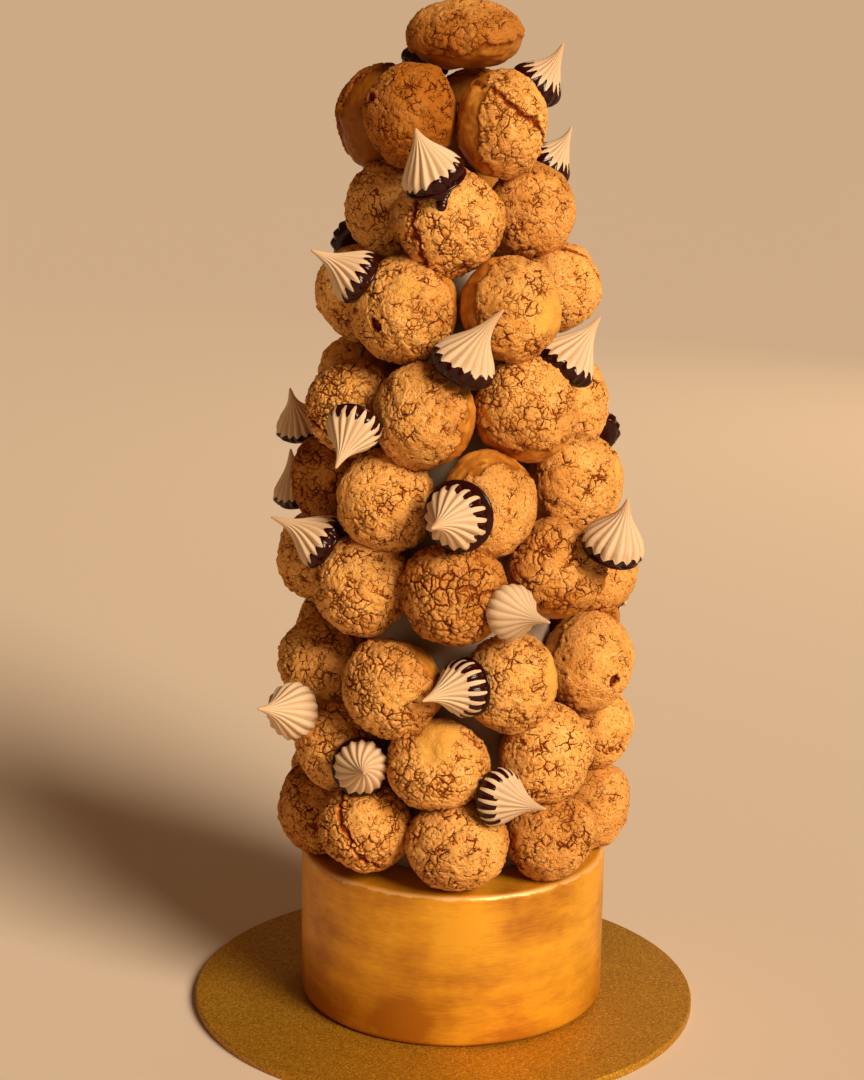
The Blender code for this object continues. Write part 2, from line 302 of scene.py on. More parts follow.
def turn_to(along: Vector) -> Matrix:
    """Rotation that takes +Z to a direction."""
    return along.to_track_quat("Z", "Y").to_matrix().to_4x4()


# ---- The crust's pattern of cracks ----------------------------------------------------
@dataclass(frozen=True)
class Crackle:
    """A craquelin's pattern: broken cracks of two sizes between sandy plates, and pits.

    The same nodes cut the cracks into the mesh and colour them, so the two agree. Each
    entry of `cracks` holds the plate size, the width of its widest crack, the size of the
    areas where it opens or stays shut, and its depth as a share, all others in mm. A
    `patchy` crust has most of its cracks in a few areas.
    """

    cracks: tuple[tuple[float, float, float, float], ...] = (
        (5.8, 0.50, 8.0, 1.0),
        (3.1, 0.25, 4.5, 0.7),
    )
    shut: float = 0.70
    wide_open: float = 0.95
    open_share: float = 0.23
    patchy: float = 0.55
    wander_mm: Pair = (1.6, 0.8)
    wander_scale_mm: Pair = (6.5, 1.7)
    pit_mm: float = 1.1
    pit_depth: float = 0.33
    pit_range: Pair = (0.59, 0.72)
    least_mm: float = 0.04
    sinks_at: float = 3.0
    spread_mm: float = 13.0
    grain_mm: float = 0.75

    def add_to(self, tree: Tree, place: Socket, amount: Socket, blunt: float) -> dict[str, Socket]:
        """Add the pattern to a node tree.

        Args:
            tree: A shader or geometry node tree.
            place: Socket with the point at which the pattern is read, in millimetres.
            amount: Socket with how much of the crust has cracked: 1 is about half of it.
            blunt: Width added to each crack, in millimetres, for a mesh too coarse for
                the finest.

        Returns:
            Sockets by name: "line" is 0 on a plate and up to 1 in a crack, "tone_0" and
            "tone_1" are random values of the larger and smaller plate, "centre" is the
            middle of the smaller one, and "spread" and "grain" are slow and quick noise.
        """
        add = partial(add_node, tree)
        warped = place
        for reach, scale in zip(self.wander_mm, self.wander_scale_mm):
            noise = add(NOISE, "3D", place, 1 / scale, 1.0).node.outputs["Color"]
            shift = add(VECTOR, "MULTIPLY_ADD", noise, (2 * reach,) * 3, (-reach,) * 3)
            warped = add(VECTOR, "ADD", warped, shift)
        found = {
            name: add(NOISE, "3D", place, 1 / size, 2.0)
            for name, size in (("spread", self.spread_mm), ("grain", self.grain_mm))
        }
        areas = add(MATH, "SUBTRACT", found["spread"], 0.5)
        pits = add(NOISE, "3D", place, 1 / self.pit_mm, 1.0)
        line = add(RANGE, "LINEAR", pits, *self.pit_range, 0.0, self.pit_depth)
        for number, (size, widest, area, depth) in enumerate(self.cracks):
            away = add(MATH, "MULTIPLY", add(CELLS, "DISTANCE_TO_EDGE", warped, 1 / size), size)
            noise = add(NOISE, "3D", place, 1 / area, 1.0)
            for source, share in ((areas, self.patchy), (amount, self.open_share)):
                noise = add(MATH, "MULTIPLY_ADD", source, share, noise)
            opened = add(RANGE, "LINEAR", noise, self.shut, self.wide_open)
            width = add(MATH, "MULTIPLY_ADD", opened, widest, self.least_mm + blunt)
            crack = add(RANGE, "SMOOTHSTEP", away, 0.0, width, 1.0, 0.0)
            sunk = opened
            for way, other in (("MULTIPLY", self.sinks_at), ("MINIMUM", 1.0), ("MULTIPLY", depth)):
                sunk = add(MATH, way, sunk, other)
            line = add(MATH, "MAXIMUM", line, add(MATH, "MULTIPLY", crack, sunk))
            plate = add(CELLS, "F1", warped, 1 / size).node.outputs
            found["centre"] = plate["Position"]
            found[f"tone_{number}"] = add(DOT, "DOT_PRODUCT", plate["Color"], (1, 0, 0))
        found["line"] = line
        return found


# ---- Puffs ----------------------------------------------------------------------------
@dataclass(frozen=True)
class Mark:
    """A feature of a crust: its size, and its direction from the puff's middle.

    A seam may also be a few millimetres off that middle. A size of 0 leaves a mark out.
    """

    size: float
    lean: float
    clock: float
    off: float = 0.0


@dataclass(frozen=True)
class Look:
    """One puff: its size, how its crust sits, and how dark it was baked, which near the top of the
    tower is partly painted shade.

    Sizes are in millimetres and angles in degrees. A lean is degrees off straight out of the
    tower, and a clock the direction of it from up, clockwise as seen from outside. A patch is
    a smooth area and a hole a small deep pit, both sized in degrees. A dent is a hollow, and
    a seam one long crack on a plane square to its direction.
    """

    wide: float = 44.5
    tall: float = 45.0
    lean: float = 4.0
    clock: float = 0.0
    cover: float = 94.0
    ragged: float = 1.0
    # How dark it was baked; for the puffs near the top of the tower partly painted shade of the
    # dimmer light there.
    bake: float = 0.15
    cracks: float = 1.0
    coarse: float = 1.0
    patch: Mark = Mark(0.0, 60.0, 90.0)
    dent: Mark = Mark(0.0, 30.0, 0.0)
    seam: Mark = Mark(0.0, 90.0, 90.0)
    hole: Mark = Mark(0.0, 20.0, 0.0)


@dataclass(frozen=True)
class PuffSkin:
    """Geometry node group that turns a smooth bun into a puff with a cracked crust."""

    crackle: Crackle = Crackle()
    crust_mm: float = 1.0
    plate_steps_mm: Pair = (0.45, 0.36)
    lumps_mm: tuple[Pair, ...] = ((1.2, 21.0), (0.45, 7.0), (0.3, 2.8))
    groove_mm: float = 1.25
    scar_mm: float = 1.3
    blunt_mm: float = 0.3
    rim_plates: float = 0.4
    rim_steps: Pair = (9.0, 5.0)
    rim_mm: Pair = (-1.6, 1.2)
    patch_waver: float = 40.0
    patch_fade: Pair = (2.0, 26.0)
    seam_waves_mm: Pair = (14.0, 1.3)
    seam_mm: Pair = (0.3, 1.5)
    hole_waver: float = 4.0
    hole_fade: Pair = (3.0, 6.0)
    hole_depth: float = 1.8
    dent_fade: Pair = (2.0, 30.0)
    amounts: tuple[str, ...] = ("Cover", "Ragged", "Cracks", "Coarse")
    marks: tuple[str, ...] = ("Patch", "Dent", "Seam", "Hole")

    def new_group(self) -> Tree:
        """Make the empty group with its inputs: middle, crown, marks and amounts.

        Returns:
            The group.
        """
        tree = bpy.data.node_groups.new("puff skin", "GeometryNodeTree")
        sizes = (*(f"{mark} size" for mark in self.marks), "Seam off")
        for side, kind, names in (
            ("INPUT", "Geometry", ("Geometry",)),
            ("INPUT", "Vector", ("Centre", "Crown", *self.marks)),
            ("INPUT", "Float", self.amounts + sizes),
            ("OUTPUT", "Geometry", ("Geometry",)),
        ):
            for name in names:
                tree.interface.new_socket(name, in_out=side, socket_type=f"NodeSocket{kind}")
        return tree

    def build(self) -> Tree:
        """Make the node group.

        Returns:
            The group, for a Nodes modifier.
        """
        tree = self.new_group()
        add = partial(add_node, tree)
        given = tree.nodes.new("NodeGroupInput").outputs
        place, middle = (
            add(SCALED, "SCALE", source, 1 / MM) for source in (add(POSITION), given["Centre"])
        )
        finer = add(MATH, "DIVIDE", 1.0, given["Coarse"])
        rest, rest_middle = (add(SCALED, "SCALE", point, finer) for point in (place, middle))
        pattern = self.crackle.add_to(tree, rest, given["Cracks"], self.blunt_mm)
        own = add(VECTOR, "SUBTRACT", place, middle)
        plate = add(VECTOR, "SUBTRACT", pattern["centre"], rest_middle)
        angles = {}
        for name, arm, towards in (
            ("own", own, "Crown"), ("plate", plate, "Crown"),
            ("patch", own, "Patch"), ("dent", own, "Dent"), ("hole", own, "Hole"),
        ):
            facing = add(DOT, "DOT_PRODUCT", add(VECTOR, "NORMALIZE", arm), given[towards])
            angles[name] = add(MATH, "DEGREES", add(MATH, "ARCCOSINE", facing))
        # The rim of the crust keeps to whole plates in part, so that it is ragged.
        rim = add(MATH, "MULTIPLY", angles["plate"], self.rim_plates)
        rim = add(MATH, "MULTIPLY_ADD", angles["own"], 1 - self.rim_plates, rim)
        past = add(MATH, "SUBTRACT", rim, given["Cover"])
        for source, reach in zip((pattern["spread"], pattern["tone_0"]), self.rim_steps):
            stray = add(MATH, "SUBTRACT", source, 0.5)
            stray = add(MATH, "MULTIPLY", stray, given["Ragged"])
            past = add(MATH, "MULTIPLY_ADD", stray, 2 * reach, past)
        crust = add(RANGE, "LINEAR", past, *self.rim_mm, 1.0, 0.0)
        patch = add(MATH, "SUBTRACT", angles["patch"], given["Patch size"])
        patch = add(MATH, "MULTIPLY_ADD", pattern["spread"], self.patch_waver, patch)
        patch = add(RANGE, "SMOOTHSTEP", patch, *self.patch_fade, 1.0, 0.0)
        # One long crack: the distance from a plane through the puff, bent by slow noise.
        across = add(DOT, "DOT_PRODUCT", own, given["Seam"])
        across = add(MATH, "SUBTRACT", across, given["Seam off"])
        for source, reach in zip((pattern["spread"], pattern["tone_1"]), self.seam_waves_mm):
            bent = add(MATH, "SUBTRACT", source, 0.5)
            across = add(MATH, "MULTIPLY_ADD", bent, reach, across)
        across = add(MATH, "ABSOLUTE", across)
        seam = add(RANGE, "SMOOTHSTEP", across, *self.seam_mm, 1.0, 0.0)
        seam = add(MATH, "MULTIPLY", seam, given["Seam size"])
        hole = add(MATH, "SUBTRACT", given["Hole size"], angles["hole"])
        hole = add(MATH, "MULTIPLY_ADD", pattern["tone_1"], self.hole_waver, hole)
        hole = add(RANGE, "LINEAR", hole, *self.hole_fade, 0.0, self.hole_depth)
        scar = add(MATH, "MAXIMUM", seam, hole)
        # Height of the skin: the crust with its plates and grooves, lumps, scars and a dent.
        calm = add(MATH, "SUBTRACT", 1.0, patch)
        height = add(MATH, "MULTIPLY", pattern["line"], -self.groove_mm)
        for number, step in enumerate(self.plate_steps_mm):
            height = add(MATH, "MULTIPLY_ADD", pattern[f"tone_{number}"], step, height)
        for way, amount in (("MULTIPLY", calm), ("ADD", self.crust_mm), ("MULTIPLY", crust)):
            height = add(MATH, way, height, amount)
        for reach, scale in self.lumps_mm:
            noise = add(NOISE, "3D", place, 1 / scale, 1.0)
            height = add(MATH, "MULTIPLY_ADD", noise, 4 * reach, height)
            height = add(MATH, "SUBTRACT", height, 2 * reach)
        height = add(MATH, "MULTIPLY_ADD", scar, -self.scar_mm, height)
        hollow = add(RANGE, "SMOOTHSTEP", angles["dent"], *self.dent_fade, 1.0, 0.0)
        hollow = add(MATH, "MULTIPLY", hollow, given["Dent size"])
        height = add(MATH, "MULTIPLY", add(MATH, "SUBTRACT", height, hollow), MM)
        shape = given["Geometry"]
        for name, kind, value in (
            ("rest", "FLOAT_VECTOR", rest),
            ("past", "FLOAT", past),
            ("patch", "FLOAT", patch),
            ("scar", "FLOAT", scar),
        ):
            shape = add(STORED, kind, shape, name, value)
        shape = add(MOVED, "", shape, add(SCALED, "SCALE", add(NORMAL), height))
        tree.links.new(shape, tree.nodes.new("NodeGroupOutput").inputs["Geometry"])
        return tree


@dataclass(frozen=True)
class ChouxFinish:
    """Choux bun under a craquelin: a matt, sandy sugar crust, browned where it cracked.

    The crust scatters light like coarse sugar. The bare dough is smooth, with the dull
    shine of egg wash, and deeper in colour.
    """

    plate: str = "#f3ad56"
    plate_pale: str = "#ffcc80"
    plate_dark: str = "#a55f18"
    smooth: str = "#f2b655"
    crack: str = "#c06514"
    crack_deep: str = "#742c05"
    dough: str = "#e09a3e"
    dough_deep: str = "#a05213"
    dough_baked_and_shaded: str = "#8c4e0e"
    # Painted shade on the dough just under the crust's rim.
    shade_under_rim: str = "#7a380a"
    rim_mm: Pair = (-0.8, 0.4)
    scar_weight: float = 1.3
    browned_share: float = 0.25
    # Painted shade: how much darker the crust gets towards its rim, away from the crown, and how
    # many degrees inside the rim it starts.
    painted_edge_shade: float = 0.36
    painted_edge_shade_reach: float = -65.0
    bake_and_shade_deepens: float = 0.5
    deep_range: Pair = (0.65, 1.2)
    traced_at: float = 0.55
    blotch_mm: float = 9.0
    blotch_range: Pair = (0.35, 0.7)
    under_reach: float = 7.0
    under_share: float = 0.8
    crust_rough: float = 0.85
    dough_rough: float = 0.4
    groove_bump: float = 2.2
    bump_mm: float = 0.55
    crackle: Crackle = Crackle()

    def material(self) -> Material:
        """Build the material.

        Returns:
            A material that reads the attributes which the puff's skin stores.
        """
        made, shader, add = new_material("choux bun with craquelin", Specular_IOR_Level=0.14)
        rest = add(ATTRIBUTE, "rest").node.outputs["Vector"]
        past, patch, scar, bake, cracked = (
            add(ATTRIBUTE, name) for name in ("past", "patch", "scar", "bake", "cracked")
        )
        pattern = self.crackle.add_to(made.node_tree, rest, cracked, 0.0)
        crust = add(RANGE, "LINEAR", past, *self.rim_mm, 1.0, 0.0)
        line = add(MATH, "MULTIPLY", pattern["line"], add(MATH, "SUBTRACT", 1.0, patch))
        line = add(MATH, "MAXIMUM", line, add(MATH, "MULTIPLY", scar, self.scar_weight))
        plates, grains, browned = (
            add(RANGE, "LINEAR", pattern[source], low, high)
            for source, low, high in (
                ("tone_1", 0.0, 1.0), ("grain", 0.38, 0.62), ("spread", 0.42, 0.72)
            )
        )
        pale = add(MATH, "MULTIPLY", plates, grains)
        # The bake darkens the crust, its cracks and the dough; near the top of the tower it is
        # partly painted shade.
        brown_and_shade = add(MATH, "MULTIPLY_ADD", browned, self.browned_share, bake)
        # Painted shade: the crust is darker towards its rim, away from the crown; this joins the
        # browning and the bake.
        edge = add(RANGE, "SMOOTHSTEP", past, self.painted_edge_shade_reach, 0.0, 0.0, self.painted_edge_shade)
        brown_and_shade = add(MATH, "ADD", brown_and_shade, edge)
        deep = add(MATH, "MULTIPLY_ADD", bake, self.bake_and_shade_deepens, line)
        deep = add(RANGE, "LINEAR", deep, *self.deep_range)
        traced = add(RANGE, "SMOOTHSTEP", line, 0.0, self.traced_at)
        blotch = add(NOISE, "3D", rest, 1 / self.blotch_mm, 3.0)
        blotch = add(RANGE, "LINEAR", blotch, *self.blotch_range)
        # Painted shade: the dough is darker just under the crust's rim.
        under = add(RANGE, "LINEAR", past, 0.0, self.under_reach, self.under_share, 0.0)
        cracks = add(MIX, "RGBA", deep, self.crack, self.crack_deep)
        colour, dough = self.plate, self.dough
        for factor, towards in (
            (pale, self.plate_pale),
            (patch, self.smooth),
            (brown_and_shade, self.plate_dark),
            (traced, cracks),
        ):
            colour = add(MIX, "RGBA", factor, colour, towards)
        for factor, towards in (
            (blotch, self.dough_deep), (bake, self.dough_baked_and_shaded), (under, self.shade_under_rim)
        ):
            dough = add(MIX, "RGBA", factor, dough, towards)
        colour = add(MIX, "RGBA", crust, dough, colour)
        rough = add(RANGE, "LINEAR", crust, 0.0, 1.0, self.dough_rough, self.crust_rough)
        relief = add(MATH, "MULTIPLY_ADD", line, -self.groove_bump, pattern["grain"])
        relief = add(MATH, "MULTIPLY", relief, crust)
        bump = add(BUMP, "", relief, self.bump_mm * MM)
        feed(shader, Base_Color=colour, Roughness=rough, Normal=bump)
        return made


@dataclass
class Puffs:
    """The cream puffs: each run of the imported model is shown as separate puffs."""

    tower: Tower
    runs: dict[str, tuple[Look, ...]]
    skin: PuffSkin = PuffSkin()
    finish: ChouxFinish = ChouxFinish()
    detail: int = 6
    crown_pull: float = 0.4
    base_cut: float = -0.40
    inset_mm: float = 0.1

    def blank(self) -> Thing:
        """Model the smooth bun: a ball of unit width with its underside pressed flat.

        Returns:
            The bun, its crown up, with finer faces towards the crown.
        """
        made = new_primitive(
            bpy.ops.mesh.primitive_ico_sphere_add, "bun", subdivisions=self.detail, radius=1.0
        )
        places = points_of(made)
        polar = np.arccos(np.clip(places[:, 2], -1, 1))
        pulled = polar - self.crown_pull * np.sin(polar)
        ratio = np.sin(pulled) / np.maximum(np.sin(polar), 1e-6)
        places[:, :2] *= np.where(polar > 1e-5, ratio, 1)[:, None]
        places[:, 2] = np.cos(pulled)
        places *= (0.51, 0.51, 0.47)
        low = places[:, 2] < self.base_cut
        places[low, 2] = self.base_cut + 0.15 * (places[low, 2] - self.base_cut)
        move_points(made, places)
        return made

    def centres(self, name: str, looks: tuple[Look, ...]) -> list[Vector]:
        """Find the middle of each puff of a packed run.

        Args:
            name: The run's CAD node.
            looks: One entry for each of its puffs, lowest first, or left to right.

        Returns:
            The middles, in the same order.
        """
        places = np.unique(points_of(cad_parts[name]).round(6), axis=0)
        low, high = places.min(0), places.max(0)
        span = high - low
        way = 2 if span[2] > span[0] or len(looks) == 1 else 0
        share = (np.arange(len(looks)) + 0.5) / len(looks)
        guess = np.repeat(((low + high) / 2)[None], len(looks), 0)
        guess[:, way] = low[way] + span[way] * share
        for _ in range(12):
            owner = np.linalg.norm(places[:, None] - guess[None], axis=2).argmin(1)
            guess = np.array(
                [self.ball_middle(places[owner == k], look) for k, look in enumerate(looks)]
            )
        return [Vector(middle) for middle in guess]

    @staticmethod
    def ball_middle(places: np.ndarray, look: Look) -> np.ndarray:
        """Find the middle of the ball that fits a puff best, its height evened out first.

        Args:
            places: The puff's points.
            look: The puff's looks, for its width and height.

        Returns:
            The middle.
        """
        even = places * (1, 1, look.wide / look.tall)
        terms = np.column_stack((2 * even, np.ones(len(even))))
        found = np.linalg.lstsq(terms, (even**2).sum(1), rcond=None)[0][:3]
        return found / (1, 1, look.wide / look.tall)

    def settings(self, look: Look, middle: Vector, crown: Vector) -> dict[str, object]:
        """Work out what the skin's inputs get for one puff.

        Args:
            look: The puff's looks.
            middle: The puff's middle.
            crown: The direction of its crown.

        Returns:
            Values by the inputs' names.
        """
        values = {"Centre": middle, "Crown": crown, "Seam off": look.seam.off}
        for name in self.skin.amounts:
            values[name] = getattr(look, name.lower())
        for name in self.skin.marks:
            mark = getattr(look, name.lower())
            values[name] = self.tower.aim(middle, mark.lean, mark.clock)
            values[f"{name} size"] = mark.size
        return values

    def build(self) -> None:
        """Make every puff and dress it."""
        group = self.skin.build()
        slots = {item.name: item.identifier for item in group.interface.items_tree}
        finish = self.finish.material()
        bun = self.blank()
        for run, looks in self.runs.items():
            for number, (look, middle) in enumerate(zip(looks, self.centres(run, looks)), start=1):
                crown = self.tower.aim(middle, look.lean, look.clock)
                wide, tall = (size - 2 * self.inset_mm for size in (look.wide, look.tall))
                stretch = Matrix.Scale(tall / wide, 4, (0, 0, 1))
                size = Matrix.Scale(wide * MM, 4)
                place = Matrix.Translation(middle) @ stretch @ turn_to(crown) @ size
                made = copy_of(bun, f"{run}_{number}" if len(looks) > 1 else f"{run}_puff", place)
                skin = made.modifiers.new("skin", "NODES")
                skin.node_group = group
                for name, value in self.settings(look, middle, crown).items():
                    skin[slots[name]] = value
                apply_modifiers(made)
                for name, value in (("bake", look.bake), ("cracked", look.cracks)):
                    store(made, name, np.full(len(made.data.vertices), value))
                bpy.ops.object.shade_smooth()
                dress(made, finish, (run,) if number == 1 else ())
        bpy.data.objects.remove(bun)


# ---- Kisses ---------------------------------------------------------------------------
@dataclass(frozen=True)
class Piping:
    """How one kiss came out of the bag and went into the chocolate.

    Sizes are in millimetres and clocks in degrees from up, clockwise as seen from outside
    the tower. The chocolate climbs to `dip`, further by `slant` on the side of
    `slant_clock`. Teeth are the share of it that bare crests lack: thin lines at a `point`
    of 0, long spikes at 1. The chocolate under the foot spreads to `pool`, as a share of the
    kiss's half width. Its ridges are less deep where `crisp` is below 1. A `plump` kiss is
    wider half-way up. The tip is `longer` than most and bends by `bend`, and `spin` is how
    far the ridges turn on their way up. A `drip` of chocolate falls so far down the puff
    below, `drip_aside` to the right of the foot.
    """

    dip: float = 7.0
    teeth: float = 0.25
    slant: float = 0.8
    slant_clock: float = 90.0
    point: float = 0.5
    pool: float = 0.88
    crisp: float = 1.0
    plump: float = 0.0
    longer: float = 0.0
    bend: float = 2.0
    bend_clock: float = 0.0
    spin: float = 20.0
    drip: float = 0.0
    drip_aside: float = 7.0


@dataclass(frozen=True)
class MeringueFinish:
    """Baked meringue with its foot dipped in dark chocolate.

    The meringue is cream-coloured, matt and very finely pitted, with painted shade darkening its
    grooves and a little toast towards its tip. The chocolate has set with a smooth gloss.
    """

    cream: str = "#d9bb97"
    groove: str = "#c49467"
    toast: str = "#cd9e6c"
    chocolate: str = "#2c0602"
    cream_rough: float = 0.6
    chocolate_rough: float = 0.2
    ragged_mm: Pair = (1.1, 0.9)
    edge: Pair = (0.37, 0.53)
    toast_mm: Pair = (22.0, 32.0)
    pits_mm: Pair = (0.7, 0.12)

    def material(self) -> Material:
        """Build the material.

        Returns:
            A material that reads the attributes ridge, rise and above of a kiss.
        """
        made, shader, add = new_material("meringue dipped in chocolate", Specular_IOR_Level=0.3)
        ridge, rise, above = (add(ATTRIBUTE, name) for name in ("ridge", "rise", "above"))
        place = add(OBJECT_PLACE)
        ragged, pits = (
            add(NOISE, "3D", place, 1 / (size * MM), 2.0)
            for size in (self.ragged_mm[0], self.pits_mm[0])
        )
        above = add(MATH, "MULTIPLY_ADD", ragged, self.ragged_mm[1], above)
        dipped = add(RANGE, "LINEAR", above, *self.edge, 1.0, 0.0)
        # Painted shade: the grooves keep the darker groove colour, the crests the cream.
        crest = add(RANGE, "LINEAR", ridge, 0.0, 0.4)
        high = add(RANGE, "LINEAR", rise, *self.toast_mm, 0.0, 0.7)
        colour = self.groove
        for factor, towards in ((crest, self.cream), (high, self.toast), (dipped, self.chocolate)):
            colour = add(MIX, "RGBA", factor, colour, towards)
        rough = add(RANGE, "LINEAR", dipped, 0.0, 1.0, self.cream_rough, self.chocolate_rough)
        dry = add(MATH, "SUBTRACT", 1.0, dipped)
        bump = add(BUMP, "", pits, self.pits_mm[1] * MM, dry)
        feed(shader, Base_Color=colour, Roughness=rough, Normal=bump)
        return made


@dataclass
class Kisses:
    """The piped kisses: sixteen ridges drawn up into a thin, bent tip."""

    tower: Tower
    piping: dict[int, Piping]
    finish: MeringueFinish = MeringueFinish()
    count: int = 32
    wide_mm: float = 28.0
    long_mm: float = 30.0
    ridges: int = 16
    facets: int = 8
    rings: int = 40
    flute: float = 0.15
    coat_mm: float = 0.35
    fill: float = 0.4
    uneven: float = 0.025
    wave: float = 0.03
    stray_mm: float = 0.5
    pool_mm: float = 2.4
    far_mm: float = 9.0
    any_turn: float = 6.28
    undipped: tuple[int, ...] = (15, 17)
    drops_mm: tuple[float, ...] = (3.2, 4.0, 4.3, 3.6, 3.0, 2.7, 2.8, 2.4)
    drop_mm: float = 1.5
    seed: int = 11
    profile: tuple[Pair, ...] = (
        (0.00, 0.30), (0.00, 0.39), (0.03, 0.460), (0.09, 0.495), (0.17, 0.500), (0.27, 0.455),
        (0.38, 0.365), (0.50, 0.260), (0.61, 0.170), (0.73, 0.102), (0.85, 0.058), (0.95, 0.031),
        (1.00, 0.012),
    )

    def blank(self) -> Thing:
        """Model a kiss of unit width and length, its foot at the origin and its tip up.

        Returns:
            The kiss, with the attributes ridge, from groove 0 to crest 1, share, from foot
            to tip, and crest, the number of the nearest crest.
        """
        made = new_primitive(
            bpy.ops.mesh.primitive_uv_sphere_add,
            "kiss",
            segments=self.ridges * self.facets,
            ring_count=self.rings,
            radius=1.0,
        )
        places = points_of(made)
        polar = np.arccos(np.clip(-places[:, 2], -1, 1))
        ring = np.round(polar / math.pi * self.rings).astype(int)
        along = ring / self.rings
        turn = np.arctan2(places[:, 1], places[:, 0])
        steps = np.linspace(0, 1, len(self.profile))
        height, width = (np.interp(along, steps, line) for line in np.array(self.profile).T)
        for _ in range(2):
            height, width = self.evened(along, height), self.evened(along, width)
        width[(ring == 0) | (ring == self.rings)] = 0
        crest = turn * self.ridges / (2 * math.pi)
        off = np.abs(crest - np.round(crest)) * 2
        ridge = 0.25 * np.cos(off * math.pi / 2) + 0.75 * (1 - off)
        # The grooves fade towards the tip and under the foot.
        depth = self.flute * np.clip((1.03 - height) / 0.35, 0, 1) * np.clip(height / 0.05, 0.4, 1)
        radius = width * (1 - depth * (1 - ridge))
        move_points(made, np.column_stack((radius * np.cos(turn), radius * np.sin(turn), height)))
        for name, values in (("ridge", ridge), ("share", height), ("crest", np.round(crest))):
            store(made, name, values % self.ridges if name == "crest" else values)
        return made

    @staticmethod
    def evened(along: np.ndarray, values: np.ndarray) -> np.ndarray:
        """Round off the corners of a profile by a running mean over its rings.

        Args:
            along: The share of the way from foot to tip at which each vertex's ring is.
            values: A height or width for each vertex, the same all round a ring.

        Returns:
            The evened values.
        """
        levels, index = np.unique(along, return_inverse=True)
        line = np.array([values[along == level][0] for level in levels])
        padded = np.concatenate((line[:1], line, line[-1:]))
        return ((padded[:-2] + 2 * padded[1:-1] + padded[2:]) / 4)[index]

    @staticmethod
    def stored(thing: Thing, name: str) -> np.ndarray:
        """Read an attribute that holds one number for each vertex.

        Args:
            thing: The piece.
            name: The attribute.

        Returns:
            The numbers.
        """
        values = np.empty(len(thing.data.vertices), np.float32)
        thing.data.attributes[name].data.foreach_get("value", values)
        return values

    def place_of(self, name: str) -> tuple[Vector, Vector, float]:
        """Read a kiss's place from its CAD node.

        Args:
            name: The node.

        Returns:
            The middle of its foot, the direction of its tip, and its length.
        """
        places = np.unique(points_of(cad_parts[name]).round(6), axis=0)
        middle = places.mean(0)
        tip = places[np.linalg.norm(places - middle, axis=1).argmax()]
        along = (tip - middle) / np.linalg.norm(tip - middle)
        reach = (places - middle) @ along
        foot = middle + along * reach.min()
        return Vector(foot), Vector(along), float(np.ptp(reach))

    def side(self, foot: Vector, along: Vector, clock: float) -> np.ndarray:
        """Direction square to a kiss that lies towards a clock."""
        towards = self.tower.aim(foot, 90, clock)
        return np.array((towards - along * towards.dot(along)).normalized())

    def run_down(self, dab: Thing, foot: Vector, piping: Piping) -> list[Thing]:
        """Let chocolate run from a kiss's foot down the puff that it stands on.

        Args:
            dab: A ball of unit radius.
            foot: The middle of the kiss's foot.
            piping: The kiss's piping, with the fall of the drip.

        Returns:
            Flat drops on the puff's skin, each pressed into the next.
        """
        out = self.tower.aim(foot, 0, 0)
        aside = self.tower.aim(foot, 90, 90) * piping.drip_aside * MM
        sight = bpy.context.evaluated_depsgraph_get()
        drops = []
        for step, reach in enumerate(self.drops_mm):
            fall = piping.drip * MM * step / (len(self.drops_mm) - 1)
            start = foot + aside + out * 0.1 - Vector((0, 0, fall))
            _, spot, normal, *_ = bpy.context.scene.ray_cast(sight, start, -out)
            flat = Matrix.Diagonal((reach * MM, reach * MM, self.drop_mm * MM, 1))
            lie = turn_to((normal + out).normalized())
            drops.append(copy_of(dab, "drop", Matrix.Translation(spot) @ lie @ flat))
        return drops

    def build(self) -> None:
        """Make every kiss and dress it."""
        finish = self.finish.material()
        blank = self.blank()
        dab = new_primitive(
            bpy.ops.mesh.primitive_uv_sphere_add, "dab", segments=32, ring_count=12, radius=1.0
        )
        ridge, share, crest = (self.stored(blank, name) for name in ("ridge", "share", "crest"))
        crest = crest.astype(int)
        random = np.random.default_rng(self.seed)
        for number in range(1, self.count + 1):
            name = f"kiss_{number:02d}"
            piping = self.piping.get(number, Piping(bend_clock=random.uniform(0, 360)))
            foot, along, length = self.place_of(name)
            chocolate = self.run_down(dab, foot, piping) if piping.drip else []
            wide = length * self.wide_mm / self.long_mm
            place = Matrix.Translation(foot) @ turn_to(along)
            turned = np.array(place.to_3x3()).T
            spun = Matrix.Rotation(random.uniform(0, self.any_turn), 4, "Z")
            made = copy_of(blank, f"{name}_piped", spun @ Matrix.Diagonal((wide, wide, length, 1)))
            places = points_of(made)
            # The ridges turn on their way up, and no two are quite alike.
            twist = math.radians(piping.spin) * share**1.5
            x, y = places[:, 0], places[:, 1]
            places[:, :2] = np.column_stack(
                (x * np.cos(twist) - y * np.sin(twist), x * np.sin(twist) + y * np.cos(twist))
            )
            out = places * (1, 1, 0)
            out /= np.maximum(np.linalg.norm(out, axis=1), 1e-9)[:, None]
            out = out @ turned
            uneven = random.normal(0, 1, self.ridges)
            swell = 1 + (1 - piping.crisp) * self.flute * (1 - ridge) * np.clip(1.5 - share, 0, 1)
            swell += self.uneven * uneven[crest] * (1 - share)
            swell += self.wave * np.sin(share * 9 + random.uniform(0, self.any_turn)) * share
            swell += piping.plump * np.sin(math.pi * np.clip(share, 0, 0.8) / 0.8) ** 2
            places[:, :2] *= swell[:, None]
            # The chocolate's edge: slanted, uneven, and toothed along the crests.
            rise = share * length / MM
            level = piping.dip + piping.slant * (out @ self.side(foot, along, piping.slant_clock))
            level += self.stray_mm * random.normal(0, 1, self.ridges)[crest]
            bare = (ridge - 0.68 + 0.6 * piping.point) / (0.15 + 0.75 * piping.point)
            level *= 1 - piping.teeth * np.clip(bare, 0, 1)
            if number in self.undipped:
                level[:] = -self.far_mm
            above = rise - level
